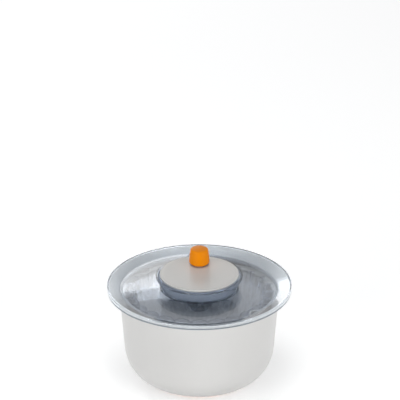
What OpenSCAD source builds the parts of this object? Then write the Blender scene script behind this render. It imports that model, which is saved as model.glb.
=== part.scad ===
// Crank-driven salad spinner, assembled, in millimetres.
// The origin is on the shared axis, at the surface that the spinner stands on. +Z is up.
// A crank turns an internal ring gear, which drives a tall idler in the lid.
// The idler drives the hub gear on the basket's cover, and the cover turns the basket.

/* [Bowl] */
// Outer radius of the rim
bowl_rim_r = 137.6; // [134:0.2:142]
// Inner radius where the flare meets the wall
bowl_throat_r = 118.9; // [116:0.1:121]
// Height from the underside to the rim
bowl_h = 154; // [148:1:165]
// Radius of the flat base
bowl_base_r = 58; // [54:1:62]
// Thickness of the wall
bowl_wall = 2.2; // [1.9:0.1:2.8]
// Sideways lean of the wall for each unit of height
bowl_draft = 0.075; // [0.05:0.005:0.1]
// Height of the flared rim
flare_h = 8.6; // [7:0.2:10]

/* [Base ring] */
// Height that the bowl stands on its non-slip ring
ring_stand = 2; // [1.4:0.1:3]
// Width of the ring
ring_w = 7; // [5:0.5:10]
// How far the ring stands out past the flat base
ring_reach = 11; // [9:0.5:12]
// Depth of the ring's groove in the base
ring_groove = 1; // [0.6:0.1:1.2]

/* [Pivot] */
// Radius of the steel pin
pin_r = 3; // [2.5:0.1:3.6]
// Length of the pin above the basket's underside
pin_reach = 9; // [7:0.5:11]
// Radius of the post that holds the pin
post_r = 8; // [6.5:0.5:10]
// Outer radius of the basket's bush
bush_r = 5.6; // [5:0.1:6.5]
// Thickness of the bush's flange
bush_flange_t = 1.4; // [1:0.1:1.8]
// Thickness of the thrust washer
washer_t = 0.8; // [0.5:0.1:1.2]
// Height of the basket's underside above the bowl's floor
under_gap = 18; // [14:0.5:20]

/* [Basket] */
// Gap between the basket's rim and the bowl's throat
basket_gap = 1.7; // [1.2:0.1:2.6]
// Distance of the basket's rim below the bowl's rim
rim_drop = 11.8; // [11.2:0.2:14]
// Thickness of the wall
basket_wall = 1.8; // [1.5:0.1:2.2]
// Sideways lean of the wall for each unit of height
basket_draft = 0.153; // [0.12:0.005:0.17]
// Radius of the flat bottom
basket_base_r = 72; // [66:1:76]
// How far the rim stands out from the wall
rim_out = 1.7; // [1:0.1:2.4]
// Height of the rim's lip
lip_h = 4.2; // [3:0.2:5]
// Number of slots round the wall
slot_count = 64; // [48:8:72]
// Width of a slot
slot_w = 3.7; // [2.6:0.1:4.2]
// Depth of the upper slots' top below the rim
slot_top = 6; // [5:0.5:9]
// Length of the upper slots
slot_upper = 46.5; // [38:0.5:47]
// Length of the middle slots
slot_middle = 41.5; // [34:0.5:43]
// Height of the bands between the rows of slots
slot_band = 5; // [4:0.5:7]
// Depth of the two finger grooves at the rim
grip_depth = 13.2; // [10:0.2:14]
// Rounding at the bottom of a finger groove
grip_round = 3; // [1.5:0.5:4]
// Number of drain slots in the bottom
drain_count = 24; // [16:4:32]

/* [Cover] */
// Number of scallops round the wall
scallops = 26; // [22:4:30]
// Thickness of the disc and its wall
cover_wall = 1.8; // [1.5:0.1:2.2]
// Depth of the disc's underside below the basket's rim
cover_drop = 13.4; // [11:0.2:16]
// Height of the cover's wall above the basket's rim
cover_proud = 0.3; // [0:0.1:0.6]
// Gap between the cover and the basket's wall
cover_gap = 0.8; // [0.5:0.1:1.2]
// Width of the web between two scallops
cusp_w = 2; // [1.4:0.1:3]
// Number of radial slots in the disc
ray_count = 7; // [5:1:9]
// Radius where a radial slot starts
ray_start = 22; // [20:1:26]
// Radius where a radial slot ends
ray_end = 47; // [38:1:60]
// Width of a radial slot
ray_w = 2.4; // [1.6:0.1:3.4]
// Height of the boss below the disc
boss_h = 20; // [16:1:24]
// Thickness of the boss's wall
boss_wall = 2.3; // [1.8:0.1:3]

/* [Gears] */
// Module of all three gears
gear_m = 1.5; // [1.45:0.01:1.54]
// Teeth of the hub gear
hub_teeth = 18; // [18:2:20]
// Teeth of the idler
idler_teeth = 23; // [21:2:23]
// Play between two teeth, measured along the pitch circle
backlash = 0.36; // [0.2:0.02:0.5]
// Height of the ring gear
ring_gear_h = 13.6; // [11:0.2:13.8]
// Thickness of the ring gear behind its teeth
ring_gear_rim = 1.6; // [1.2:0.1:2]
// Radius of the idler's axle
idler_pin_r = 2.5; // [2:0.1:3]

/* [Lid] */
// Thickness of the lid
lid_wall = 2; // [1.7:0.1:2.3]
// Thickness of the outer lip
lip_wall = 1.7; // [1.4:0.1:2.2]
// Height of the outer lip
lid_lip_h = 8.4; // [6:0.2:10]
// Play between the lip and the bowl's rim
lid_play = 0.7; // [0.5:0.1:1]
// Gap that the lid's flange keeps above the bowl's flare
lid_seat = 0.4; // [0.3:0.1:0.6]
// Rise of the plate from its outer step to the collar
lid_rise = 4.3; // [3.6:0.1:6]
// Height of the collar above the plate
collar_h = 18.2; // [17.6:0.2:20]
// Outward lean of the collar over its height
collar_flare = 9.6; // [7:0.2:11]
// Height of the inner wall above the plate
inner_wall_h = 15.4; // [13:0.2:15.8]
// Thickness of the inner wall and of the cup
inner_wall_t = 1.5; // [1.2:0.1:1.8]
// Outer radius of the centre tube
tube_r = 6.35; // [6.1:0.05:6.6]
// Thickness of the centre tube
tube_wall = 1.55; // [1.3:0.05:1.7]
// Height of the tube above the plate
tube_h = 16.3; // [15.6:0.1:16.4]
// Gap between the hub gear's teeth and the cup
cup_play = 0.7; // [0.5:0.1:1.2]
// Gap between the cup and the cover's disc
cup_gap = 1.6; // [1:0.1:3]

/* [Crank] */
// Radius of the disc
crank_r = 60; // [58:0.5:64]
// Height of the disc's rim above the collar
crank_stand = 3.2; // [2.6:0.1:4]
// Depth of the dish in the disc's top
crank_dish = 1; // [0.5:0.1:1.3]
// Thickness of the disc at its middle
crank_t = 2.1; // [1.8:0.1:2.4]
// Thickness of the skirt at its foot
skirt_wall = 1.7; // [1.4:0.1:2.2]
// Height of the rim's edge
edge_h = 2.6; // [2:0.1:3.4]
// Depth of the step under the edge
edge_step = 1.4; // [0.8:0.1:2]
// Radius of the steel shaft
shaft_r = 4; // [3.6:0.1:4.1]
// Distance of the knob's post from the axis
knob_offset = 33; // [28:0.5:36]
// Radius of the post
knob_post_r = 5.9; // [5:0.1:6.4]
// Height of the post above the disc
knob_post_h = 18.5; // [15:0.5:20]
// Radius of the dimple round the post
dimple_r = 13; // [11:0.5:16]

/* [Knob] */
// Radius at the bottom
knob_r = 15.5; // [13.5:0.5:17]
// Radius at the shoulder
knob_top_r = 13.2; // [12:0.2:14]
// Height
knob_h = 25; // [24:0.5:32]
// Thickness of the sleeve
sleeve_wall = 1.4; // [1.1:0.1:1.8]

/* [Fits] */
// Radial clearance of a shaft that turns in its bush
run_gap = 0.06; // [0.04:0.01:0.1]
// Radial clearance of a piece that is pressed into another
press_gap = 0.02; // [0.01:0.01:0.04]
// Gap between two faces that slide on each other
face_gap = 0.2; // [0.1:0.05:0.3]

/* [Hidden] */
$fn = 96;
round_fn = 180;         // facets of the large round shells
small_fn = 48;          // facets of pins, posts and their holes
eps = 0.01;             // overlap of two shapes that are joined into one solid
past = 1;               // how far a cutter runs past the face that it opens

// Levels, from the ground up
bowl_z = ring_stand;
floor_z = bowl_z + bowl_wall;
rim_z = bowl_z + bowl_h;
throat_z = rim_z - flare_h;
pin_z = floor_z - bowl_wall / 2;
basket_z = floor_z + under_gap;
basket_rim_z = rim_z - rim_drop;
disc_z = basket_rim_z - cover_drop;
disc_top_z = disc_z + cover_wall;
cup_z = disc_top_z + cup_gap;

// Bowl and basket, radii
function flare_z(r) = throat_z + (r - bowl_throat_r) * flare_h / (bowl_rim_r - bowl_throat_r);
basket_rim_r = bowl_throat_r - basket_gap;
basket_top_r = basket_rim_r - rim_out;
grip_r = basket_rim_r - grip_depth;
grip_half = 45;         // half of the angle between a groove's two sides
grip_center = grip_r + grip_round;
grip_angle = -90 + 3.5 * 360 / scallops;    // a groove stands midway between two scallops
cutter_past = 10;
cutter_r = bowl_rim_r + cutter_past;        // outer end of a cutter that passes every wall
socket_h = 11.6;        // height of the bush in the basket's socket
socket_wall = 3.4;
roof_gap = 0.3;         // space above the end of a pin or a bush in its blind hole
bush_flange_w = 2.2;    // how far the bush's flange stands out
lip_edge = 1.6;         // height of the lip's vertical face below the rim
rim_round = 0.5;        // bevel of the basket's rim
lip_flat = 2;           // width of the rim's flat top
washer_z = basket_z - face_gap - bush_flange_t - face_gap / 2 - washer_t;

// Cover: the tips of its webs follow the basket's inner wall
scallop_pitch = 360 / scallops;
cover_top_z = basket_rim_z + cover_proud;
cusp_r = wall_at(disc_top_z, basket_top_r, basket_rim_z, basket_draft) - basket_wall
         + (cover_top_z - disc_top_z) * basket_draft - cover_gap;
scallop_r = cusp_r * sin(scallop_pitch / 2) - cusp_w / 2;
boss_z = disc_z - boss_h;

// Lid levels
step_r = bowl_throat_r + 1.4;
step_z = flare_z(step_r) + lid_seat;
deck_z = step_z + lid_wall + lid_rise;
channel_z = deck_z - 1.4;
collar_z = deck_z + collar_h;
tube_top_z = deck_z + tube_h;
tube_z = cup_z - 3;
lid_rim_z = rim_z + lid_seat + lid_wall;
lid_r = bowl_rim_r + lid_play + lip_wall;

// Gear train: hub gear and idler mesh below the deck, idler and ring gear above it
pressure = 20;
ring_teeth = hub_teeth + 2 * idler_teeth;
addendum = gear_m;
dedendum = 1.25 * gear_m;
hub_pitch_r = gear_m * hub_teeth / 2;
idler_pitch_r = gear_m * idler_teeth / 2;
ring_pitch_r = gear_m * ring_teeth / 2;
idler_y = -(hub_pitch_r + idler_pitch_r);
hub_tip_r = hub_pitch_r + addendum;
hub_root_r = hub_pitch_r - dedendum;
spigot_r = hub_root_r - 0.5;
boss_r_in = spigot_r + press_gap;
boss_r_out = boss_r_in + boss_wall;
nut_h = 2.4;            // height of the ring that is welded to the spigot's end
hub_bush_wall = 2;
hub_bore_r = tube_r + hub_bush_wall + 2 * run_gap;
hub_step_drop = 6;
hub_step_z = cup_z - hub_step_drop;     // seat of the hub's bush
idler_tip_r = idler_pitch_r + addendum;
ring_tip_r = ring_pitch_r - addendum;
ring_root_r = ring_pitch_r + dedendum;
ring_out_r = ring_root_r + ring_gear_rim;
gear_play = 0.6;        // gap between a gear's tips or end and the lid
hub_gear_top_z = deck_z - lid_wall - gear_play;
pocket_r = idler_tip_r + gear_play;
pocket_floor_t = 2.8;
inner_wall_r = ring_tip_r - gear_play;
window_half = idler_tip_r - 1.25;

// Crank levels and radii
glide_t = 1.5;
skirt_z = channel_z + glide_t + 1.5 * face_gap;
skirt_in_r = ring_out_r + press_gap;
skirt_r = skirt_in_r + skirt_wall;
skirt_play = 1.7;       // gap between the skirt and the collar's foot
collar_slant = 1.1;     // width of the leaning collar for each unit of its thickness
collar_foot_r = skirt_r + skirt_play + lid_wall * collar_slant;
crank_rim_z = collar_z + crank_stand;
crank_mid_z = crank_rim_z - crank_dish;
crank_under_z = crank_mid_z - crank_t;
ring_gear_z = skirt_z + 2 * face_gap;
ring_seat_z = ring_gear_z + ring_gear_h;
flange_r = 9;           // head of the crank shaft
flange_t = 1;
shaft_z = skirt_z + 1.5;
bush_in_r = tube_r - tube_wall;
rim_play = 0.4;         // gap between the disc's rim and the collar
collar_in_r = crank_r + rim_play;
dish_r = (pow(crank_r, 2) + pow(crank_dish, 2)) / (2 * crank_dish);
post_top_z = crank_mid_z + knob_post_h;
post_wall = 2.7;
core_r = knob_post_r - post_wall;
core_z = crank_mid_z + past;

// Idler stack
axle_z = cup_z + 1;
axle_top_z = crank_under_z - 2;
bracket_t = 2;
bracket_z = axle_top_z - bracket_t;
screw_clear = 8.75;     // distance of a screw past the idler's tips
screw_back = 10.75;     // distance of the screws behind the idler's axle
screw_x = idler_tip_r + screw_clear;
screw_y = idler_y + screw_back;
screw_post_r = 4;
screw_r = 1.5;
screw_core_r = screw_r - 0.2;   // hole in the post, which the thread cuts into
screw_bite = 8;         // length of the screw below the bracket

// Knob levels
knob_z = crank_rim_z + 1;
sleeve_r = knob_post_r + run_gap + sleeve_wall;
sleeve_roof = 1.4;
sleeve_top_z = post_top_z + 2 * face_gap + sleeve_roof;

// ---- Shared functions and shapes ----

// Points along an arc about [cx, cy], from angle a0 to a1
function arc(cx, cy, r, a0, a1, n = 8) =
    [for (i = [0:n]) let (a = a0 + (a1 - a0) * i / n) [cx + r * cos(a), cy + r * sin(a)]];

// Radius of a leaning wall at a height, from its radius at a reference height
function wall_at(z, ref_r, ref_z, draft) = ref_r - draft * (ref_z - z);

// Radius of the corner that is tangent to a flat base and to a leaning wall
function corner(base_r, base_z, ref_r, ref_z, draft) =
    (ref_r - base_r - draft * (ref_z - base_z)) / (sqrt(1 + draft * draft) - draft);

function involute(a) = tan(a) * 180 / PI - a;

// Half of a tooth's angle at radius r, with extra thickness on the pitch circle
function tooth_half(r, teeth, extra) =
    let (pitch_r = gear_m * teeth / 2,
         at = acos(min(1, pitch_r * cos(pressure) / r)))
    90 / teeth + involute(pressure) - involute(at) + extra / (2 * pitch_r) * 180 / PI;

// Outline of a gear whose first tooth points along +X
function gear_points(teeth, root_r, tip_r, extra, steps = 4) =
    let (base_r = gear_m * teeth / 2 * cos(pressure),
         low_r = max(root_r, base_r),
         radii = [for (i = [0:steps]) low_r + (tip_r - low_r) * i / steps],
         foot = root_r < base_r ? [root_r] : [],
         rising = concat(foot, radii),
         n = len(rising) - 1)
    [for (k = [0:teeth - 1]) for (i = [0:2 * n + 1])
        let (r = i <= n ? rising[i] : rising[2 * n + 1 - i],
             side = i <= n ? -1 : 1,
             a = 360 * k / teeth + side * tooth_half(max(r, base_r), teeth, extra))
        [r * cos(a), r * sin(a)]];

module ring(r_out, r_in, z0, z1) {
    difference() {
        translate([0, 0, z0]) cylinder(r = r_out, h = z1 - z0);
        translate([0, 0, z0 - past]) cylinder(r = r_in, h = z1 - z0 + 2 * past);
    }
}

module rod(r, z0, z1) {
    translate([0, 0, z0]) cylinder(r = r, h = z1 - z0);
}

// A bar that runs outward from r0 to r1 at angle a
module spoke(a, r0, r1, width, z0, z1) {
    rotate([0, 0, a]) translate([r0, -width / 2, z0]) cube([r1 - r0, width, z1 - z0]);
}

// ---- Bowl ----

module base_ring() {
    color("darkorange")
        ring(bowl_base_r + ring_reach, bowl_base_r + ring_reach - ring_w,
             0, bowl_z + ring_groove);
}

module bowl_shell() {
    out_r = bowl_throat_r + bowl_wall;
    big = corner(bowl_base_r, bowl_z, out_r, throat_z, bowl_draft);
    lean = atan(bowl_draft);
    drop = bowl_wall * 1.1; // the flare's thickness, measured upright
    neck = 2.2;             // reach of the rounding where flare and wall meet
    bend = 0.5;             // how far that rounding cuts the corner
    edge = 0.6;             // bevel of the rim
    rotate_extrude($fn = round_fn) polygon(concat(
        [[0, bowl_z]],
        arc(bowl_base_r, bowl_z + big, big, -90, -lean),
        [[wall_at(throat_z - drop - neck, out_r, throat_z, bowl_draft), throat_z - drop - neck],
         [out_r + bend, flare_z(out_r + bend) - drop - bend],
         [out_r + neck, flare_z(out_r + neck) - drop],
         [bowl_rim_r - edge, rim_z - drop],
         [bowl_rim_r, rim_z - drop + edge],
         [bowl_rim_r, rim_z - edge],
         [bowl_rim_r - edge, rim_z],
         [bowl_rim_r - edge - past, flare_z(bowl_rim_r - edge - past)],
         [bowl_throat_r + neck, flare_z(bowl_throat_r + neck)],
         [bowl_throat_r + bend, throat_z - bend],
         [wall_at(throat_z - neck, bowl_throat_r, throat_z, bowl_draft), throat_z - neck]],
        arc(bowl_base_r, bowl_z + big, big - bowl_wall, -lean, -90),
        [[0, floor_z]]));
}

module bowl() {
    color("gainsboro") difference() {
        union() {
            bowl_shell();
            rod(post_r, floor_z - eps, washer_z);
        }
        ring(bowl_base_r + ring_reach, bowl_base_r + ring_reach - ring_w,
             -past, bowl_z + ring_groove);
        rod(pin_r, pin_z, basket_z);
    }
}

module pivot_pin() {
    top = basket_z + pin_reach;
    bevel = 1;
    color("silver") rotate_extrude() polygon([
        [0, pin_z], [pin_r, pin_z], [pin_r, top - bevel], [pin_r - bevel, top], [0, top]]);
}

module thrust_washer() {
    color("silver")
        ring(bush_r + bush_flange_w - 0.4, pin_r + run_gap, washer_z, washer_z + washer_t);
}

module pivot_bush() {
    flange_top = basket_z - face_gap;
    color("white") difference() {
        union() {
            rod(bush_r + bush_flange_w, flange_top - bush_flange_t, flange_top);
            rod(bush_r, flange_top - eps, basket_z + socket_h);
        }
        rod(pin_r + run_gap, flange_top - bush_flange_t - past, basket_z + pin_reach + roof_gap);
    }
}

// ---- Basket ----

// Outline of a finger groove, seen from above, grown by a wall or a gap
module grip_outline(grow) {
    far = 3 * grip_depth;
    bottom = arc(grip_center, 0, grip_round + grow, 90 + grip_half, 270 - grip_half, 6);
    reach = far * [cos(grip_half), sin(grip_half)];
    polygon(concat(bottom, [bottom[6] + [reach[0], -reach[1]], bottom[0] + reach]));
}

module both_grips(grow, z0, z1) {
    for (side = [0, 180])
        rotate([0, 0, grip_angle + side])
            translate([0, 0, z0]) linear_extrude(height = z1 - z0) grip_outline(grow);
}

module basket_outside() {
    big = corner(basket_base_r, basket_z, basket_top_r, basket_rim_z, basket_draft);
    low = basket_rim_z - lip_h;
    rotate_extrude($fn = round_fn) polygon(concat(
        [[0, basket_z]],
        arc(basket_base_r, basket_z + big, big, -90, -atan(basket_draft)),
        [[wall_at(low, basket_top_r, basket_rim_z, basket_draft), low],
         [basket_rim_r - rim_round / 2, basket_rim_z - lip_edge],
         [basket_rim_r, basket_rim_z - lip_edge / 2],
         [basket_rim_r - rim_round, basket_rim_z],
         [0, basket_rim_z]]));
}

module basket_inside() {
    big = corner(basket_base_r, basket_z, basket_top_r, basket_rim_z, basket_draft);
    low = basket_rim_z - lip_h;
    rotate_extrude($fn = round_fn) polygon(concat(
        [[0, basket_z + basket_wall]],
        arc(basket_base_r, basket_z + big, big - basket_wall, -90, -atan(basket_draft)),
        [[wall_at(low, basket_top_r, basket_rim_z, basket_draft) - basket_wall, low],
         [basket_rim_r - lip_flat, basket_rim_z - rim_round],
         [basket_rim_r - lip_flat + rim_round, basket_rim_z + past],
         [0, basket_rim_z + past]]));
}

// Whether a slot at angle a would run into a finger groove
function near_grip(a) =
    let (clear = asin((grip_depth + basket_wall + slot_w / 2) / basket_rim_r))
    min(abs(sin((a - grip_angle) / 2)), abs(cos((a - grip_angle) / 2))) < sin(clear / 2);

module basket_slots() {
    upper_z = basket_rim_z - slot_top;
    middle_z = upper_z - slot_upper - slot_band;
    lower_z = middle_z - slot_middle - slot_band;
    grip_end_z = basket_rim_z - (basket_top_r - grip_r) / basket_draft - slot_band;
    inside_r = basket_base_r + 3;
    for (i = [0:slot_count - 1]) {
        a = -90 + (i + 0.5) * 360 / slot_count;
        near = near_grip(a);
        if (!near)
            spoke(a, inside_r, cutter_r, slot_w, upper_z - slot_upper, upper_z);
        spoke(a, inside_r, cutter_r, slot_w, middle_z - slot_middle,
              near ? min(middle_z, grip_end_z) : middle_z);
        spoke(a, inside_r, cutter_r, slot_w, basket_z - past, lower_z);
    }
}

// Socket for the bush, on a cone that spreads its load over the bottom
module basket_boss() {
    boss_r = bush_r + socket_wall;
    foot = 4;
    roof_z = basket_z + socket_h + roof_gap;
    rotate_extrude() polygon([
        [0, basket_z + eps], [boss_r + foot, basket_z + eps],
        [boss_r + foot, basket_z + basket_wall + roof_gap],
        [boss_r, basket_z + basket_wall + foot], [boss_r, roof_z + roof_gap],
        [boss_r - bush_flange_w, roof_z + bush_flange_w], [0, roof_z + bush_flange_w + roof_gap]]);
}

module drain_slots() {
    drain_w = 3;
    drain_margin = 8;       // solid ring left outside the drain slots
    for (i = [0:drain_count - 1])
        spoke((i + 0.5) * 360 / drain_count, basket_base_r * 0.4, basket_base_r - drain_margin,
              drain_w, basket_z - past, basket_z + basket_wall + past);
}

module basket() {
    color("gainsboro") difference() {
        union() {
            difference() {
                basket_outside();
                both_grips(0, basket_z - past, basket_rim_z + past);
                difference() {
                    basket_inside();
                    both_grips(basket_wall, basket_z - 2 * past, basket_rim_z + 2 * past);
                }
                basket_slots();
            }
            basket_boss();
        }
        rod(bush_r + run_gap, basket_z - past, basket_z + socket_h + roof_gap);
        drain_slots();
    }
}

// ---- Cover ----

// Scalloped outline with its valleys, and its two notches for the basket's grooves
module scalloped(grow) {
    difference() {
        circle(r = cusp_r + scallop_r / 2, $fn = round_fn);
        for (i = [0:scallops - 1])
            rotate([0, 0, -90 + i * scallop_pitch])
                translate([cusp_r, 0]) circle(r = scallop_r + grow, $fn = small_fn);
        for (side = [0, 180])
            rotate([0, 0, grip_angle + side]) grip_outline(basket_wall + cover_gap + grow);
    }
}

// Space inside the basket's wall that the cover may fill
module cover_envelope() {
    low = basket_rim_z - lip_h;
    wall_in = wall_at(disc_z, basket_top_r, basket_rim_z, basket_draft) - basket_wall;
    lip_in = basket_rim_r - lip_flat - cover_gap;
    rotate_extrude($fn = round_fn) polygon([
        [0, disc_z], [wall_in - cover_gap, disc_z],
        [wall_in + basket_draft * (low - disc_z) - cover_gap, low],
        [lip_in, basket_rim_z - rim_round], [lip_in, cover_top_z], [0, cover_top_z]]);
}

// Radial slots in the disc, the first one at the back
module rays() {
    for (i = [0:ray_count - 1])
        spoke(90 + i * 360 / ray_count, ray_start, ray_end, ray_w,
              disc_z - past, disc_top_z + past);
}

module cover() {
    color("lightcyan", 0.5) difference() {
        union() {
            intersection() {
                translate([0, 0, disc_z])
                    linear_extrude(height = cover_top_z - disc_z) scalloped(0);
                cover_envelope();
            }
            rod(boss_r_out, boss_z, disc_z + eps);
        }
        intersection() {
            translate([0, 0, disc_top_z])
                linear_extrude(height = cover_top_z - disc_top_z + past) scalloped(cover_wall);
            rod(cusp_r - cover_wall, disc_top_z - past, cover_top_z + 2 * past);
        }
        rod(boss_r_in, boss_z - past, disc_top_z + past);
        rays();
    }
}

module hub_gear() {
    color("lightsteelblue", 0.7) difference() {
        union() {
            translate([0, 0, disc_top_z]) linear_extrude(height = hub_gear_top_z - disc_top_z)
                rotate(-90) polygon(gear_points(hub_teeth, hub_root_r, hub_tip_r, -backlash / 2));
            rod(spigot_r, boss_z - nut_h, disc_top_z + eps);
        }
        rod(hub_bore_r, hub_step_z, hub_gear_top_z + past);
        rod(hub_bore_r - hub_bush_wall, boss_z - nut_h - past, hub_step_z + past);
    }
}

module hub_nut() {
    color("white") ring(boss_r_out, spigot_r + press_gap, boss_z - nut_h, boss_z);
}

module hub_bush() {
    color("white") ring(hub_bore_r - run_gap, tube_r + run_gap,
                        hub_step_z + face_gap, hub_gear_top_z - face_gap);
}

// ---- Lid ----

module lid_profile() {
    slope = (deck_z - lid_wall - step_z) / (step_r - collar_foot_r);
    guide_out = bowl_throat_r - lid_play;   // ring below the plate that centres the lid
    guide_in = guide_out - 1.8;
    guide_drop = 2.2;
    lip_z = lid_rim_z - lid_lip_h;
    lip_in = lid_r - lip_wall;
    edge = 1.2;             // rounding of the lid's edge
    bevel = 0.4;
    bead_t = 1.4;           // ring that hangs inside the collar's top
    bead_h = 3.4;
    crown = 1.9;            // thickness of the collar's top
    cone = collar_flare / collar_h;
    collar_top_r = collar_foot_r + collar_flare;
    inner_foot = collar_foot_r - lid_wall * collar_slant;
    cup_in = hub_tip_r + cup_play;
    cup_out = cup_in + inner_wall_t;
    wall_in = inner_wall_r - inner_wall_t;
    polygon([
        // lip and flange, from the lip's foot inwards
        [lid_r, lip_z], [lid_r, lid_rim_z - edge],
        [lid_r - edge * (1 - cos(45)), lid_rim_z - edge * (1 - sin(45))],
        [lid_r - edge, lid_rim_z], [lid_r - 2 * edge, lid_rim_z - edge / 10],
        [step_r, step_z + lid_wall + bevel], [step_r - bevel, step_z + lid_wall],
        // plate and collar
        [collar_foot_r + 1, deck_z - slope], [collar_foot_r, deck_z],
        [collar_top_r - bevel, collar_z - 2 * bevel], [collar_top_r - 2 * bevel, collar_z],
        [collar_in_r + bevel, collar_z], [collar_in_r, collar_z - bevel],
        [collar_in_r, collar_z - bead_h], [collar_in_r + bead_t, collar_z - bead_h],
        [collar_in_r + bead_t, collar_z - crown],
        [inner_foot + cone * (collar_z - crown - channel_z), collar_z - crown],
        [inner_foot, channel_z],
        // channel and inner wall
        [inner_wall_r, channel_z], [inner_wall_r, deck_z + inner_wall_h],
        [wall_in, deck_z + inner_wall_h], [wall_in, deck_z],
        // tube
        [tube_r, deck_z], [tube_r, tube_top_z], [bush_in_r, tube_top_z],
        [bush_in_r, tube_z], [tube_r, tube_z], [tube_r, deck_z - lid_wall],
        // cup
        [cup_in, deck_z - lid_wall], [cup_in, cup_z], [cup_out, cup_z],
        [cup_out, deck_z - lid_wall],
        // underside
        [wall_in - past, deck_z - lid_wall], [wall_in - past, channel_z - lid_wall],
        [collar_foot_r, channel_z - lid_wall], [collar_foot_r + 3, deck_z - lid_wall - 3 * slope],
        [guide_in, step_z + slope * (step_r - guide_in)], [guide_in, step_z - guide_drop],
        [guide_out, step_z - guide_drop], [guide_out, step_z],
        [step_r, step_z], [lip_in, flare_z(lip_in) + lid_seat], [lip_in, lip_z]]);
}

module at_idler() {
    translate([0, idler_y, 0]) children();
}

module screw_posts(r, z0, z1) {
    for (side = [-1, 1])
        translate([side * screw_x, screw_y, 0]) rod(r, z0, z1, $fn = small_fn);
}

module lid() {
    pocket_out_r = pocket_r + inner_wall_t;
    color("lightcyan", 0.5) difference() {
        union() {
            rotate_extrude($fn = round_fn) lid_profile();
            at_idler() rod(pocket_out_r, cup_z, channel_z - eps);
            screw_posts(screw_post_r, deck_z - eps, bracket_z);
        }
        // pocket for the idler, open to the cup and up through the deck
        at_idler() rod(pocket_r, cup_z + pocket_floor_t, crank_rim_z);
        at_idler() rod(idler_pin_r, axle_z, crank_rim_z);
        // the cup's bore, kept clear where the pocket's wall crosses it
        difference() {
            rod(hub_tip_r + cup_play, cup_z - past, deck_z - lid_wall);
            rod(tube_r, tube_z - past, deck_z);
        }
        // window in the inner wall, where the idler meets the ring gear
        translate([-window_half, -inner_wall_r - past, deck_z])
            cube([2 * window_half, inner_wall_r - idler_pitch_r, inner_wall_h + past]);
        screw_posts(screw_core_r, deck_z, crank_rim_z);
    }
}

module glide_ring() {
    in_r = pocket_r - idler_y + gear_play;
    color("white") ring(skirt_r, in_r, channel_z, channel_z + glide_t);
}

// One of its gaps faces the hub gear, and one of its teeth the ring gear
module idler_gear() {
    foot_z = cup_z + pocket_floor_t + face_gap;
    color("aliceblue", 0.8) at_idler() difference() {
        translate([0, 0, foot_z]) linear_extrude(height = bracket_z - face_gap - foot_z)
            rotate(90 + 180 / idler_teeth)
                polygon(gear_points(idler_teeth, idler_pitch_r - dedendum,
                                    idler_tip_r, -backlash / 2));
        rod(idler_pin_r + run_gap, cup_z, crank_rim_z);
    }
}

module idler_axle() {
    color("silver") at_idler()
        rod(idler_pin_r - press_gap, axle_z, axle_top_z, $fn = small_fn);
}

module idler_bracket() {
    ear_r = screw_post_r + 0.6;
    eye_r = idler_pin_r + 3;
    arm_w = 1.6 * ear_r;
    arm = [screw_x, screw_y - idler_y];
    color("aliceblue", 0.8) difference() {
        union() {
            at_idler() rod(eye_r, bracket_z, axle_top_z);
            screw_posts(ear_r, bracket_z, axle_top_z);
            for (side = [-1, 1])
                at_idler()
                    spoke(90 - side * atan2(arm[0], arm[1]), 0, norm(arm), arm_w,
                          bracket_z, axle_top_z);
        }
        at_idler() rod(idler_pin_r, bracket_z - past, axle_top_z + past);
        screw_posts(screw_r + 0.2, bracket_z - past, axle_top_z + past);
    }
}

module bracket_screws() {
    head_r = 1.8 * screw_r;
    head_h = 0.8 * screw_r;
    color("silver") {
        screw_posts(screw_core_r - press_gap, bracket_z - screw_bite, axle_top_z + eps);
        screw_posts(head_r, axle_top_z, axle_top_z + head_h);
    }
}

// ---- Crank ----

module crank_bush() {
    flange_z = tube_top_z + face_gap / 2;
    flange_h = 0.6;
    color("white") difference() {
        union() {
            rod(bush_in_r - run_gap, shaft_z + past, flange_z + eps);
            rod(tube_r - face_gap / 2, flange_z, flange_z + flange_h);
        }
        rod(shaft_r + run_gap, shaft_z, crank_under_z);
    }
}

module at_post() {
    translate([0, knob_offset, 0]) children();
}

// Dished disc, its rounded rim, the skirt and the ring that locates the shaft's head
module crank_shell() {
    edge_z = crank_rim_z - edge_h;
    nose = 1.2;             // rounding of the rim
    bevel = 0.4;
    head_ring = 3;
    head_ring_z = crank_under_z - 2.2;
    dish_end = crank_r - 1.3 * nose;
    rotate_extrude($fn = round_fn) polygon(concat(
        [[0, crank_mid_z]],
        [for (i = [1:6]) let (r = dish_end * i / 6)
            [r, crank_mid_z + dish_r - sqrt(dish_r * dish_r - r * r)]],
        [[crank_r - 0.6 * nose, crank_rim_z], [crank_r - 0.1 * nose, crank_rim_z - bevel],
         [crank_r, crank_rim_z - nose], [crank_r - bevel, edge_z],
         [crank_r - edge_step, edge_z - bevel],
         [skirt_r, skirt_z + bevel], [skirt_r - bevel, skirt_z],
         [skirt_in_r, skirt_z], [skirt_in_r, ring_seat_z],
         [ring_tip_r + past, ring_seat_z], [ring_tip_r + past, crank_under_z],
         [flange_r + head_ring, crank_under_z], [flange_r + head_ring, head_ring_z],
         [flange_r + press_gap, head_ring_z],
         [flange_r + press_gap, crank_under_z], [0, crank_under_z]]));
}

module crank_disc() {
    dimple = 0.9;
    ball_r = (pow(dimple_r, 2) + pow(dimple, 2)) / (2 * dimple);
    ball_z = crank_mid_z + crank_dish / 3 - dimple + ball_r;
    root_z = crank_mid_z - 0.8 * crank_t;
    tip = 0.7;              // bevel of the post's top
    color("silver") difference() {
        union() {
            difference() {
                crank_shell();
                at_post() translate([0, 0, ball_z]) sphere(r = ball_r);
            }
            at_post() rotate_extrude() polygon([
                [0, root_z], [knob_post_r, root_z], [knob_post_r, post_top_z - tip],
                [knob_post_r - tip, post_top_z], [0, post_top_z]]);
        }
        at_post() rod(core_r, core_z, post_top_z + past, $fn = small_fn);
    }
}

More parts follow.
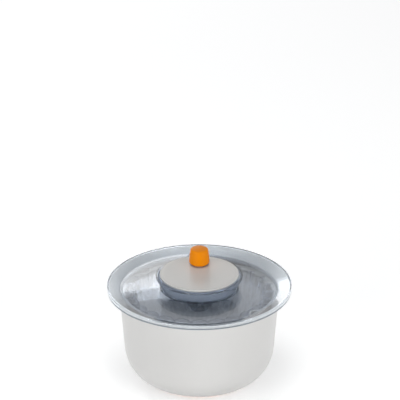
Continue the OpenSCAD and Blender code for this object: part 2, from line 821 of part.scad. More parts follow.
module post_core() {
    sunk = 0.6;
    color("dimgray") at_post()
        rod(core_r - press_gap, core_z, post_top_z - sunk, $fn = small_fn);
}

module ring_gear() {
    color("white") translate([0, 0, ring_gear_z]) linear_extrude(height = ring_gear_h)
        difference() {
            circle(r = ring_out_r, $fn = round_fn);
            rotate(-90) polygon(gear_points(ring_teeth, ring_tip_r, ring_root_r, backlash / 2));
        }
}

module crank_shaft() {
    color("silver") union() {
        rod(flange_r, crank_under_z - flange_t, crank_under_z);
        rod(shaft_r, shaft_z, crank_under_z - flange_t + eps);
    }
}

// ---- Knob ----

module knob_sleeve() {
    color("white") at_post() difference() {
        rod(sleeve_r, knob_z, sleeve_top_z);
        rod(knob_post_r + run_gap, knob_z - past, sleeve_top_z - sleeve_roof);
    }
}

module knob() {
    foot = 1.8;             // rounding at the knob's foot
    crown = 2.6;            // rise from the shoulder to the top
    dome_h = 1.4;           // rise of the dome alone
    dome_edge = knob_top_r - 2;
    dome_r = (pow(dome_edge, 2) + pow(dome_h, 2)) / (2 * dome_h);
    top = knob_z + knob_h;
    low = knob_z + foot;
    shoulder = top - crown;
    color("darkorange") at_post() difference() {
        rotate_extrude() polygon(concat(
            [[0, knob_z], [knob_r - 0.8 * foot, knob_z], [knob_r - foot / 4, knob_z + foot / 3],
             [knob_r, low]],
            [for (i = [1:5]) let (t = i / 5)
                [knob_r + (knob_top_r - knob_r) * t * t, low + (shoulder - low) * t]],
            [[knob_top_r - crown / 4, shoulder + crown / 3]],
            [for (i = [0:3]) let (r = dome_edge * (1 - i / 3))
                [r, top - dome_r + sqrt(dome_r * dome_r - r * r)]]));
        rod(sleeve_r + run_gap, knob_z - past, sleeve_top_z + roof_gap);
    }
}

// ---- Assembly ----

base_ring();
bowl();
pivot_pin();
thrust_washer();
pivot_bush();
basket();
hub_bush();
cover();
hub_gear();
hub_nut();
lid();
glide_ring();
idler_gear();
idler_axle();
idler_bracket();
bracket_screws();
crank_bush();
crank_disc();
ring_gear();
crank_shaft();
post_core();
knob_sleeve();
knob();
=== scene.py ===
"""Crank-driven salad spinner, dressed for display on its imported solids, in its small studio.

The sub-assemblies' sizes are in millimetres and degrees, and new_piece turns them into metres.
Finishes, lamps and the camera are in metres, and a texture's scale is per metre.
"""

import logging
import math
from collections.abc import Callable, Sequence
from dataclasses import dataclass
from enum import Enum
from functools import cache
from typing import Any

import bmesh
import bpy
from mathutils import Matrix, Vector


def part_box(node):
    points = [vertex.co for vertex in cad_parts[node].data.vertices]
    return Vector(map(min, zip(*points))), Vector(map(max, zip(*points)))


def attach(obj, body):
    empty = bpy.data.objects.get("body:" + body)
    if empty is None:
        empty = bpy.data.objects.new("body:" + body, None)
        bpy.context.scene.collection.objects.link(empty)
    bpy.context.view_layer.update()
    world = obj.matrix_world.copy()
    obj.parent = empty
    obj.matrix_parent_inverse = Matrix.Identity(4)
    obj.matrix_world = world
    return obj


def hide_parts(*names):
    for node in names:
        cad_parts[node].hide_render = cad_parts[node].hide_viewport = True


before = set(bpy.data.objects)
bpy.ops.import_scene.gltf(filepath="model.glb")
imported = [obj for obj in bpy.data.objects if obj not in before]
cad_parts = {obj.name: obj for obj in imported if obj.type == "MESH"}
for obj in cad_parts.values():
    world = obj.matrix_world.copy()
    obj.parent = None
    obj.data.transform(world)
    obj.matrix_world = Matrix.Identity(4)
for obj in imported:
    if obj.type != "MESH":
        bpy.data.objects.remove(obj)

log = logging.getLogger("salad_spinner")
MM = 0.001
PLASTIC_IOR = 1.49
KNOB_OFFSET = 33.0

Colour = tuple[float, float, float]
Point = tuple[float, float]
Point3 = tuple[float, float, float]
Corner = tuple[float, float, float]


# ---- Shader arithmetic ----


class Socket:
    """A node's output that takes part in Python arithmetic."""

    def __init__(self, graph: "Graph", output: bpy.types.NodeSocket) -> None:
        """Keeps the output and the graph that it belongs to."""
        self.graph = graph
        self.output = output

    def _math(self, operation: str, *values: "Socket | float") -> "Socket":
        """Adds one Math node.

        Args:
            operation: The node's operation, such as "ADD".
            values: Its inputs, in order.

        Returns:
            The node's output.
        """
        return self.graph.add("ShaderNodeMath", {"operation": operation}, dict(enumerate(values)))

    def __add__(self, other: "Socket | float") -> "Socket":
        """Returns self + other."""
        return self._math("ADD", self, other)

    def __radd__(self, other: float) -> "Socket":
        """Returns other + self."""
        return self._math("ADD", other, self)

    def __sub__(self, other: "Socket | float") -> "Socket":
        """Returns self - other."""
        return self._math("SUBTRACT", self, other)

    def __rsub__(self, other: float) -> "Socket":
        """Returns other - self."""
        return self._math("SUBTRACT", other, self)

    def __mul__(self, other: "Socket | float") -> "Socket":
        """Returns self * other."""
        return self._math("MULTIPLY", self, other)

    def __rmul__(self, other: float) -> "Socket":
        """Returns other * self."""
        return self._math("MULTIPLY", other, self)

    def largest(self, other: "Socket | float") -> "Socket":
        """Returns the larger of self and other."""
        return self._math("MAXIMUM", self, other)

    def ramp(self, low: float, high: float) -> "Socket":
        """Maps low..high smoothly to 0..1.

        Args:
            low: The value that gives 0.
            high: The value that gives 1, which may lie below low.

        Returns:
            The mapped value, held within 0 and 1.
        """
        return self.graph.add(
            "ShaderNodeMapRange", {"interpolation_type": "SMOOTHSTEP"},
            {"Value": self, "From Min": low, "From Max": high})


class Graph:
    """The node tree of a material or of the world."""

    def __init__(self, tree: bpy.types.NodeTree) -> None:
        """Starts with an empty tree."""
        self.tree = tree
        tree.nodes.clear()

    def node(self, kind: str, settings: dict[str, Any] | None = None,
             sockets: dict[str | int, Any] | None = None) -> bpy.types.Node:
        """Adds a node, sets it up, and then fills its sockets.

        Args:
            kind: The node's type.
            settings: Its properties by name, such as a Math node's operation.
            sockets: Values or links by the input's name or number.

        Returns:
            The new node.
        """
        node = self.tree.nodes.new(kind)
        for key, value in (settings or {}).items():
            setattr(node, key, value)
        for key, value in (sockets or {}).items():
            if isinstance(value, Socket):
                self.tree.links.new(value.output, node.inputs[key])
            else:
                node.inputs[key].default_value = value
        return node

    def add(self, kind: str, settings: dict[str, Any] | None = None,
            sockets: dict[str | int, Any] | None = None, out: str | int = 0) -> Socket:
        """Adds a node and gives one of its outputs.

        Args:
            kind: The node's type.
            settings: As in node().
            sockets: As in node().
            out: The wanted output's name or number.

        Returns:
            That output.
        """
        return Socket(self, self.node(kind, settings, sockets).outputs[out])

    def place(self) -> Socket:
        """Returns the position in the object's own frame, in metres."""
        return self.add("ShaderNodeTexCoord", out="Object")

    def stretched(self, place: Socket, scale: Point3) -> Socket:
        """Returns the position scaled by a factor for each axis."""
        return self.add("ShaderNodeVectorMath", {"operation": "MULTIPLY"}, {0: place, 1: scale})

    def noise(self, place: Socket, scale: float, detail: float = 2.0) -> Socket:
        """Returns a soft noise between 0 and 1 whose grain is about 1 / scale metres."""
        return self.add("ShaderNodeTexNoise", None,
                        {"Vector": place, "Scale": scale, "Detail": detail}, "Fac")

    def height(self, place: Socket) -> Socket:
        """Returns the upright part of a position."""
        return self.add("ShaderNodeSeparateXYZ", None, {0: place}, "Z")

    def distance(self, place: Socket) -> Socket:
        """Returns how far a position lies from the origin."""
        return self.add("ShaderNodeVectorMath", {"operation": "LENGTH"}, {0: place}, "Value")

    def facing_in(self, place: Socket) -> Socket:
        """Tells which surfaces face the object's upright axis.

        Args:
            place: The position in the object's own frame.

        Returns:
            1 where a surface faces the axis, and 0 where it faces out.
        """
        normal = self.add("ShaderNodeTexCoord", out="Normal")
        outward = self.add("ShaderNodeVectorMath", {"operation": "DOT_PRODUCT"},
                           {0: self.stretched(place, (-1.0, -1.0, 0.0)), 1: normal}, "Value")
        return outward.ramp(0.03, 0.1)

    def blend(self, share: Socket | float, first: "Socket | Colour",
              second: "Socket | Colour") -> Socket:
        """Mixes two colours.

        Args:
            share: How much of the second colour shows, from 0 to 1.
            first: The colour where share is 0.
            second: The colour where share is 1.

        Returns:
            The mixed colour.
        """
        ends = [c if isinstance(c, Socket) else (*c, 1.0) for c in (first, second)]
        return self.add("ShaderNodeMix", {"data_type": "RGBA"},
                        {0: share, 6: ends[0], 7: ends[1]}, 2)

    def bump(self, height: Socket, depth: float) -> Socket:
        """Returns a normal bent by a height from 0 to 1 that stands for depth metres."""
        return self.add("ShaderNodeBump", None,
                        {"Height": height, "Strength": 1.0, "Distance": depth}, "Normal")

    def ray(self, fact: str) -> Socket:
        """Returns what is known of the ray that arrives, such as "Is Shadow Ray"."""
        return self.add("ShaderNodeLightPath", out=fact)

    def looking(self) -> Socket:
        """Tells the rays that look from the rays that gather light.

        Returns:
            1 for rays that the camera sends, also by mirrors and glass, and 0 for all others.
        """
        sent = self.ray("Is Camera Ray").largest(self.ray("Is Glossy Ray"))
        sent = sent.largest(self.ray("Is Transmission Ray"))
        return sent * (1.0 - self.ray("Diffuse Depth").ramp(0.0, 1.0))

    def finish(self, surface: Socket, volume: Socket | None = None) -> None:
        """Ends the tree in its output node.

        Args:
            surface: The surface shader.
            volume: The shader of the space inside, where there is one.
        """
        sockets = {"Surface": surface}
        if volume is not None:
            sockets["Volume"] = volume
        of_world = isinstance(self.tree.id_data, bpy.types.World)
        self.node("ShaderNodeOutputWorld" if of_world else "ShaderNodeOutputMaterial",
                  None, sockets)


def tone(red: int, green: int, blue: int) -> Colour:
    """Turns a screen colour into a linear one.

    Args:
        red: The red channel, from 0 to 255.
        green: The green channel.
        blue: The blue channel.

    Returns:
        The linear colour, from 0 to 1.
    """
    levels = (step / 255 for step in (red, green, blue))
    return tuple(level / 12.92 if level <= 0.04045 else ((level + 0.055) / 1.055) ** 2.4
                 for level in levels)


def scaled(colour: Colour, factor: float) -> Colour:
    """Returns a colour made lighter or darker by a factor, held at 1."""
    return tuple(min(1.0, channel * factor) for channel in colour)


# ---- Finishes ----


class Grain(Enum):
    """Mould textures, as the grain's size per metre and its depth in metres."""

    POLISHED = (700.0, 0.000004)
    SATIN = (1300.0, 0.000012)
    RUBBER = (2600.0, 0.00004)


@dataclass(frozen=True)
class MouldedPlastic:
    """An opaque moulded plastic with flow marks, a fine mould grain and a few hairlines.

    Its colour drifts by a share to both sides. Wear shows from wear_top, a height in metres, down
    to wear_depth under it, and nowhere where wear_top is 0. Surfaces that face the upright axis
    are darkened to the share painted_inner_shade of the colour: painted shade, standing in for
    the shade inside a hollow.
    """

    name: str
    colour: Colour
    roughness: float
    grain: Grain = Grain.SATIN
    drift: float = 0.035
    shine: float = 0.5
    wear_top: float = 0.0
    wear_depth: float = 0.004
    painted_inner_shade: float = 1.0
    flow_stretch: Point3 = (1.0, 1.0, 0.35)
    flow_scale: float = 16.0
    hair_scales: Point3 = (260.0, 180.0, 12.0)
    wear_scale: float = 160.0

    def material(self) -> bpy.types.Material:
        """Builds the material.

        Returns:
            A material whose colour, roughness and normal vary over the surface.
        """
        material = new_material(self.name)
        graph = Graph(material.node_tree)
        place = graph.place()
        grain_scale, grain_depth = self.grain.value
        flow = graph.noise(graph.stretched(place, self.flow_stretch), self.flow_scale, 3.0)
        specks = graph.noise(place, grain_scale)
        hairs = graph.noise(graph.stretched(place, self.hair_scales), 1.0, 1.0).ramp(0.68, 0.74)
        colour = graph.blend(flow.ramp(0.3, 0.7), scaled(self.colour, 1 - self.drift),
                             scaled(self.colour, 1 + self.drift))
        colour = graph.blend(specks.ramp(0.35, 0.65) * 0.12, colour, scaled(self.colour, 0.9))
        # Painted shade: surfaces that face the axis are darkened, standing in for the shade
        # inside the hollow.
        if self.painted_inner_shade < 1:
            painted_shade = scaled(self.colour, self.painted_inner_shade)
            colour = graph.blend(graph.facing_in(place), colour, painted_shade)
        rough = self.roughness + (flow - 0.5) * 0.1 + hairs * 0.06
        if self.wear_top:
            worn = graph.height(place).ramp(self.wear_top - self.wear_depth, self.wear_top)
            worn = worn * graph.noise(place, self.wear_scale, 4.0).ramp(0.42, 0.7)
            colour = graph.blend(worn * 0.35, colour, scaled(self.colour, 1.12))
            rough = rough + worn * 0.12
        relief = specks * 0.8 + hairs * 0.2
        shader = graph.add("ShaderNodeBsdfPrincipled", None, {
            "Base Color": colour, "Roughness": rough, "IOR": PLASTIC_IOR,
            "Specular IOR Level": self.shine, "Normal": graph.bump(relief, grain_depth)}, "BSDF")
        graph.finish(shader)
        return material


@dataclass(frozen=True)
class ClearPlastic:
    """A clear plastic with a faint tint, which deepens along its edges.

    depth_colour is what is left of white light deep inside, and density says how soon. passes is
    the share of a lamp's light that each surface lets by, thinness the share of a look that goes
    straight on, and clarity the share that is glass instead of a pale body.
    """

    name: str
    tint: Colour
    depth_colour: Colour
    density: float
    roughness: float = 0.03
    waviness: float = 0.00002
    passes: float = 0.5
    thinness: float = 0.0
    clarity: float = 1.0
    flow_scale: float = 30.0
    scuff_scales: Point3 = (300.0, 220.0, 40.0)

    def material(self) -> bpy.types.Material:
        """Builds the material.

        Returns:
            A glass-like material that lets the lamps' light through.
        """
        material = new_material(self.name)
        graph = Graph(material.node_tree)
        place = graph.place()
        flow = graph.noise(place, self.flow_scale)
        scuffs = graph.noise(graph.stretched(place, self.scuff_scales), 1.0).ramp(0.62, 0.75)
        shader = graph.add("ShaderNodeBsdfPrincipled", None, {
            "Base Color": graph.blend(flow.ramp(0.3, 0.7), self.tint, scaled(self.tint, 0.985)),
            "Roughness": self.roughness + scuffs * 0.05 + flow * 0.02,
            "Transmission Weight": self.clarity, "IOR": PLASTIC_IOR,
            "Normal": graph.bump(flow, self.waviness)}, "BSDF")
        shadow = graph.add("ShaderNodeBsdfTransparent", None, {
            "Color": (*scaled(self.tint, self.passes), 1.0)})
        if self.thinness:
            straight = graph.add("ShaderNodeBsdfTransparent", None, {
                "Color": (*self.tint, 1.0)})
            shader = graph.add("ShaderNodeMixShader", None, {
                0: self.thinness, 1: shader, 2: straight})
        surface = graph.add("ShaderNodeMixShader", None, {
            0: graph.ray("Is Shadow Ray"), 1: shader, 2: shadow})
        volume = graph.add("ShaderNodeVolumeAbsorption", None, {
            "Color": (*self.depth_colour, 1.0), "Density": self.density})
        graph.finish(surface, volume)
        return material


@dataclass(frozen=True)
class BrightSteel:
    """Turned stainless steel with fine rings from the lathe."""

    name: str
    colour: Colour = (0.62, 0.61, 0.59)
    roughness: float = 0.24
    ring_scales: Point3 = (90.0, 90.0, 4200.0)
    smear_scale: float = 240.0
    ring_depth: float = 0.000006

    def material(self) -> bpy.types.Material:
        """Builds the material.

        Returns:
            A metal whose turning marks run round it.
        """
        material = new_material(self.name)
        graph = Graph(material.node_tree)
        place = graph.place()
        rings = graph.noise(graph.stretched(place, self.ring_scales), 1.0)
        smears = graph.noise(place, self.smear_scale, 3.0)
        shader = graph.add("ShaderNodeBsdfPrincipled", None, {
            "Base Color": graph.blend(rings, scaled(self.colour, 0.9), scaled(self.colour, 1.08)),
            "Roughness": self.roughness + rings * 0.1 + smears * 0.08,
            "Metallic": 1.0, "Normal": graph.bump(rings, self.ring_depth)}, "BSDF")
        graph.finish(shader)
        return material


Finish = MouldedPlastic | ClearPlastic | BrightSteel


def new_material(name: str) -> bpy.types.Material:
    """Makes a material that uses nodes.

    Args:
        name: The material's name.

    Returns:
        The new material.
    """
    material = bpy.data.materials.new(name)
    material.use_nodes = True
    return material


# ---- Mesh making, with sizes in millimetres ----


def rounded(corners: Sequence[Corner], closed: bool = False, steps: int = 5) -> list[Point]:
    """Rounds the corners of an outline.

    Args:
        corners: Each corner's two coordinates and the radius of its rounding.
        closed: Whether the last corner joins the first.
        steps: The number of short sides in each rounding.

    Returns:
        The points of the rounded outline.
    """
    nearly_straight, most_of_side = math.pi / 2 - 0.01, 0.48
    points: list[Point] = []
    count = len(corners)
    for spot, (x, y, radius) in enumerate(corners):
        here = Vector((x, y))
        back = Vector(corners[spot - 1][:2]) - here
        ahead = Vector(corners[(spot + 1) % count][:2]) - here
        half = back.angle(ahead, math.pi) / 2
        at_end = not closed and spot in (0, count - 1)
        if radius <= 0 or at_end or half > nearly_straight:
            points.append((x, y))
            continue
        reach = min(radius / math.tan(half), most_of_side * min(back.length, ahead.length))
        radius = reach * math.tan(half)
        back, ahead = back.normalized(), ahead.normalized()
        centre = here + (back + ahead).normalized() * (radius / math.sin(half))
        start, end = here + back * reach - centre, here + ahead * reach - centre
        turn = start.angle_signed(end)
        for step in range(steps + 1):
            spoke = start.copy()
            spoke.rotate(Matrix.Rotation(-turn * step / steps, 2))
            points.append((centre.x + spoke.x, centre.y + spoke.y))
    return points


def arc(centre: Point, radius: float, start: float, end: float, steps: int) -> list[Point]:
    """Returns steps + 1 points of an arc between two angles in degrees."""
    angles = [math.radians(start + (end - start) * step / steps) for step in range(steps + 1)]
    return [(centre[0] + radius * math.cos(a), centre[1] + radius * math.sin(a)) for a in angles]


def new_piece(name: str, points: Sequence[Point3], faces: Sequence[Sequence[int]],
              sharp: float = 40.0) -> bpy.types.Object:
    """Makes an object from points in millimetres.

    Args:
        name: The piece's name.
        points: The mesh's points.
        faces: The mesh's faces, as numbers of points.
        sharp: The angle in degrees from which an edge stays sharp.

    Returns:
        The new object, with its faces turned outward and shaded smooth.
    """
    mesh = bpy.data.meshes.new(name)
    mesh.from_pydata([(x * MM, y * MM, z * MM) for x, y, z in points], [], faces)
    made = bmesh.new()
    made.from_mesh(mesh)
    bmesh.ops.remove_doubles(made, verts=made.verts, dist=1e-7)
    bmesh.ops.recalc_face_normals(made, faces=made.faces)
    made.to_mesh(mesh)
    made.free()
    mesh.shade_smooth()
    mesh.set_sharp_from_angle(angle=math.radians(sharp))
    piece = bpy.data.objects.new(name, mesh)
    bpy.context.scene.collection.objects.link(piece)
    return piece


def settle(piece: bpy.types.Object, sharp: float = 40.0) -> bpy.types.Object:
    """Turns a piece's modifiers into mesh, and shades the result smooth.

    Args:
        piece: The piece to settle.
        sharp: The angle in degrees from which an edge stays sharp.

    Returns:
        The same piece.
    """
    bpy.context.view_layer.update()
    shaped = piece.evaluated_get(bpy.context.evaluated_depsgraph_get())
    mesh = bpy.data.meshes.new_from_object(shaped)
    piece.modifiers.clear()
    piece.data = mesh
    mesh.shade_smooth()
    mesh.set_sharp_from_angle(angle=math.radians(sharp))
    return piece


def sheet_faces(rows: int, columns: int, keep: Callable[[int, int], bool] | None = None,
                loop: bool = False) -> list[tuple[int, int, int, int]]:
    """Returns the faces between rows of points whose ends join up.

    Args:
        rows: The number of rows.
        columns: The number of points in a row.
        keep: Whether the face from row i and column j is made; all are, without it.
        loop: Whether the last row joins the first.

    Returns:
        Faces as numbers of points.
    """
    faces = []
    for i in range(rows if loop else rows - 1):
        for j in range(columns):
            if keep is None or keep(i, j):
                k, n = (i + 1) % rows, (j + 1) % columns
                faces.append((i * columns + j, i * columns + n, k * columns + n, k * columns + j))
    return faces


def lathe(name: str, profile: Sequence[Point], closed: bool = False, steps: int = 192,
          centre: Point = (0.0, 0.0), sharp: float = 40.0) -> bpy.types.Object:
    """Turns an outline round an upright axis.

    Args:
        name: The piece's name.
        profile: Radii and heights; an open outline starts and ends on the axis.
        closed: Whether the outline is a loop clear of the axis.
        steps: The number of facets round the axis.
        centre: Where the axis stands.
        sharp: The angle in degrees from which an edge stays sharp.

    Returns:
        The turned piece.
    """
    turns = [2 * math.pi * step / steps for step in range(steps)]
    points = [(centre[0] + r * math.cos(a), centre[1] + r * math.sin(a), z)
              for r, z in profile for a in turns]
    return new_piece(name, points, sheet_faces(len(profile), steps, loop=closed), sharp)


class Tool(Enum):
    """What one solid does to another."""

    JOIN = "UNION"
    CUT = "DIFFERENCE"


def prism(name: str, outline: Sequence[Point], low: float, high: float) -> bpy.types.Object:
    """Makes an upright prism over an outline.

    Args:
        name: The piece's name.
        outline: The points of its base, in order.
        low: The height of its foot.
        high: The height of its top.

    Returns:
        The prism.
    """
    count = len(outline)
    points = [(x, y, z) for z in (low, high) for x, y in outline]
    faces: list[Sequence[int]] = [
        (i, (i + 1) % count, count + (i + 1) % count, count + i) for i in range(count)]
    faces += [tuple(range(count))[::-1], tuple(range(count, 2 * count))]
    return new_piece(name, points, faces)


def combine(piece: bpy.types.Object,
            tools: Sequence[tuple[Tool, bpy.types.Object]]) -> bpy.types.Object:
    """Joins tools to a piece or cuts them out of it, in order, and removes the tools.

    Args:
        piece: The piece to change.
        tools: What each tool does, and its object.

    Returns:
        The changed piece.
    """
    for use, tool in tools:
        modifier = piece.modifiers.new(use.name.lower(), "BOOLEAN")
        modifier.operation, modifier.object, modifier.solver = use.value, tool, "EXACT"
    settle(piece)
    for _, tool in tools:
        bpy.data.objects.remove(tool)
    return piece


def corner_radius(base_r: float, base_z: float, wall_r: float, wall_z: float,
                  draft: float) -> float:
    """Fits a round corner between a flat base and a leaning wall.

    Args:
        base_r: The radius where the flat base ends.
        base_z: The base's height.
        wall_r: The wall's radius at the height wall_z.
        wall_z: The height at which the wall's radius is known.
        draft: The wall's sideways lean for each unit of height.

    Returns:
        The radius of the corner that touches both.
    """
    spread = wall_r - base_r - draft * (wall_z - base_z)
    return spread / (math.sqrt(1 + draft * draft) - draft)


def dress(piece: bpy.types.Object, finish: Finish, body: str,
          stands_for: str = "") -> None:
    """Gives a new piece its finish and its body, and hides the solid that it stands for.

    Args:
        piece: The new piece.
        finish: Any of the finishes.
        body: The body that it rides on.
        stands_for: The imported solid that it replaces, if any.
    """
    piece.data.materials.clear()
    piece.data.materials.append(finish.material())
    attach(piece, body)
    if stands_for:
        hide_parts(stands_for)
    log.info("%s: %d faces, on %s", piece.name, len(piece.data.polygons), body)


def refinish(nodes: Sequence[str], finish: Finish) -> None:
    """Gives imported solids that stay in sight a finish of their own.

    Args:
        nodes: The solids' names.
        finish: Any of the finishes.
    """
    material = finish.material()
    for name in nodes:
        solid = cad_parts[name]
        for slot in solid.material_slots:
            slot.material = material
        if not solid.material_slots:
            solid.data.materials.append(material)
        log.info("%s: new finish %s", name, material.name)


@cache
def top_of(node: str) -> float:
    """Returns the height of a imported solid's top in millimetres."""
    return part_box(node)[1].z / MM


@cache
def foot_of(node: str) -> float:
    """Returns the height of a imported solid's underside in millimetres."""
    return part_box(node)[0].z / MM


@cache
def reach_of(node: str) -> float:
    """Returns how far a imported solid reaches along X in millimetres."""
    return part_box(node)[1].x / MM


# ---- Bowl ----


@dataclass
class Bowl:
    """The outer bowl on its rubber ring, with the post for the basket's pin."""

    throat_r: float = 118.9
    base_r: float = 58.0
    wall: float = 2.2
    draft: float = 0.075
    flare_h: float = 8.6
    rim_edge: float = 2.42
    rim_round: float = 1.1
    flare_rounds: Point = (4.5, 6.0)
    post_r: float = 8.0
    pin_r: float = 3.0
    ring_w: float = 7.0
    ring_groove: tuple[Point, Point, Point] = ((4.2, 0.0), (3.5, 0.6), (2.8, 0.0))
    # painted_inner_shade paints shade on the bowl's inside.
    plastic: MouldedPlastic = MouldedPlastic(
        "bowl_plastic", tone(216, 215, 213), 0.3, Grain.POLISHED, drift=0.012, wear_top=0.156,
        painted_inner_shade=0.88)
    rubber: MouldedPlastic = MouldedPlastic("base_rubber", tone(238, 140, 30), 0.5, Grain.RUBBER)

    def profile(self) -> list[Point]:
        """Draws the bowl in section.

        Returns:
            The outline from the base's middle, up outside and down inside to the post.
        """
        foot, rim_z, rim_r = foot_of("bowl"), top_of("bowl"), reach_of("bowl")
        throat_z, out_r = rim_z - self.flare_h, self.throat_r + self.wall
        big = corner_radius(self.base_r, foot, out_r, throat_z, self.draft)
        lean = -math.degrees(math.atan(self.draft))
        centre, drop = (self.base_r, foot + big), self.rim_edge
        inner_corner = arc(centre, big - self.wall, lean, -90, 24)
        outside = [(0, foot), (self.base_r, foot)] + arc(centre, big, -90, lean, 28)[1:]
        outside += rounded([
            (*outside[-1], 0), (out_r, throat_z - drop, self.flare_rounds[0]),
            (rim_r, rim_z - drop, self.rim_round), (rim_r, rim_z, self.rim_round),
            (self.throat_r, throat_z, self.flare_rounds[1]), (*inner_corner[0], 0)], steps=7)[1:]
        post_z, floor = foot_of("thrust_washer"), foot + self.wall
        post = rounded([(*inner_corner[-1], 0), (self.post_r, floor, 1.5),
                        (self.post_r, post_z, 0.6), (self.pin_r, post_z, 0), (0, post_z, 0)])
        return outside + inner_corner[1:] + post[1:]

    def build(self) -> None:
        """Makes the bowl and its rubber ring."""
        bowl = lathe("bowl_shell", self.profile(), steps=256)
        dress(bowl, self.plastic, "bowl", "bowl")
        out_r, high = reach_of("base_ring"), top_of("base_ring")
        groove = [(out_r - inward, up, 0.3) for inward, up in self.ring_groove]
        ring = lathe("foot_ring", rounded([
            (out_r, 0, 0.8), (out_r, high, 0.4), (out_r - self.ring_w, high, 0.4),
            (out_r - self.ring_w, 0, 0.8), *groove], True, 3), True)
        dress(ring, self.rubber, "bowl", "base_ring")


# ---- Basket ----


class Row(Enum):
    """What the basket's wall is from one row of points to the next."""

    SOLID = 0
    SLOTTED = 1
    GROOVED = 2


@dataclass
class Basket:
    """The slotted basket with its two finger grooves and its drain."""

    base_r: float = 72.0
    wall: float = 1.8
    draft: float = 0.153
    rim_out: float = 1.7
    lip_h: float = 4.2
    slots: int = 64
    slot_w: float = 3.7
    slot_top: float = 6.0
    upper: float = 46.5
    middle: float = 41.5
    band: float = 5.0
    edge_round: float = 0.35
    grip_depth: float = 13.2
    grip_tight: float = 3.0
    grip_round: float = 8.0
    grip_soft: float = 2.4
    grip_angles: tuple[float, float] = (-90 + 3.5 * 360 / 26, 90 + 3.5 * 360 / 26)
    grip_closed: float = 8.3
    grip_fine: float = 13.0
    flat_radii: Point = (66.0, 70.0)
    drains: int = 24
    drain_w: float = 3.0
    drain_radii: tuple[float, ...] = (8.6, 13.0, 20.0, 28.8, 40.0, 52.0, 64.0, 66.2)
    drain_rings: tuple[int, int] = (3, 6)
    bush_r: float = 5.7
    socket_r: float = 9.0
    socket_foot_r: float = 13.0
    socket_h: float = 14.4
    # painted_inner_shade paints shade on the basket's inside.
    plastic: MouldedPlastic = MouldedPlastic(
        "basket_plastic", tone(209, 208, 206), 0.34, Grain.POLISHED, drift=0.015, shine=0.4,
        wear_top=0.1442, painted_inner_shade=0.8)

    def groove_r(self, turn: float) -> float:
        """Draws a finger groove, whose two straight sides meet in a rounded bottom.

        Args:
            turn: The angle in radians from the groove's middle.

        Returns:
            The radius of the groove's surface there.
        """
        sides_meet = reach_of("basket") - self.grip_depth - (math.sqrt(2) - 1) * self.grip_tight
        centre = sides_meet + math.sqrt(2) * self.grip_round
        leg = self.grip_round * math.sqrt(0.5)
        if abs(turn) < math.atan(leg / (centre - leg)):
            return centre * math.cos(turn) - math.sqrt(
                self.grip_round ** 2 - (centre * math.sin(turn)) ** 2)
        return sides_meet / (math.cos(turn) - abs(math.sin(turn)))

    def cut_back(self, radius: float, angle: float) -> float:
        """Cuts the wall back where a finger groove passes it.

        Args:
            radius: The wall's radius.
            angle: The place round the wall, in radians.

        Returns:
            The radius that is left, softened where wall and groove meet.
        """
        soft, past_groove = self.grip_soft, 0.35
        for grip in self.grip_angles:
            turn = (angle - math.radians(grip) + math.pi) % (2 * math.pi) - math.pi
            if abs(turn) < past_groove:
                groove = self.groove_r(turn)
                share = min(1.0, max(0.0, 0.5 + 0.5 * (groove - radius) / soft))
                radius = groove + (radius - groove) * share - soft * share * (1 - share)
        return radius

    def near_grip(self, angle: float, within: float) -> bool:
        """Returns whether an angle in degrees is within some degrees of a groove."""
        return any(abs((angle - grip + 180) % 360 - 180) < within for grip in self.grip_angles)

    def columns(self) -> list[tuple[float, float, float]]:
        """Lays out the wall's columns, which lie closer together by a groove.

        Returns:
            For each column a slot's angle in degrees, where the column lies across the slot,
            from -1 to 1, and its share of the way to the next slot.
        """
        pitch = 360 / self.slots
        found = []
        for slot in range(self.slots):
            angle = -90 + (slot + 0.5) * pitch
            fine_slot = self.near_grip(angle, self.grip_fine)
            fine_rib = fine_slot or self.near_grip(angle + pitch / 2, self.grip_fine)
            across, between = 5 if fine_slot else 1, 7 if fine_rib else 3
            found += [(angle, -1 + 2 * i / across, 0.0) for i in range(across)]
            found += [(angle, 1.0, i / between) for i in range(between)]
        return found

    def at_column(self, column: tuple[float, float, float], radius: float) -> float:
        """Places a column, as slots keep their width while the wall grows wider.

        Args:
            column: The column, as from columns().
            radius: The wall's radius.

        Returns:
            The column's angle in radians.
        """
        angle, across, rib = column
        edge = math.asin(self.slot_w / 2 / radius)
        pitch = 2 * math.pi / self.slots
        return math.radians(angle) + across * edge + rib * (pitch - 2 * edge)

    def rows(self) -> list[tuple[float, float, Row]]:
        """Lays out the wall's rows from the bottom's edge up to the lip.

        Returns:
            For each row its radius, its height and what starts there. A grooved row has slots
            everywhere but at the finger grooves.
        """
        foot, rim, rim_r = foot_of("basket"), top_of("basket"), reach_of("basket")
        top_r = rim_r - self.rim_out
        big = corner_radius(self.base_r, foot, top_r, rim, self.draft)
        tangent_z = foot + big * (1 - math.sin(math.atan(self.draft)))
        upper = rim - self.slot_top
        middle = upper - self.upper - self.band
        lower = middle - self.middle - self.band

        def wall(z: float) -> float:
            """Draws the wall in section, on the corner or above it.

            Args:
                z: The height.

            Returns:
                The wall's radius there.
            """
            if z < tangent_z:
                return self.base_r + math.sqrt(big ** 2 - (foot + big - z) ** 2)
            return top_r - self.draft * (rim - z)

        def up(low: float, high: float, steps: int,
               kind: Row = Row.SOLID) -> list[tuple[float, float, Row]]:
            """Returns rows of one kind from a height up to another, without the last."""
            heights = [low + (high - low) * i / steps for i in range(steps)]
            return [(wall(z), z, kind) for z in heights]

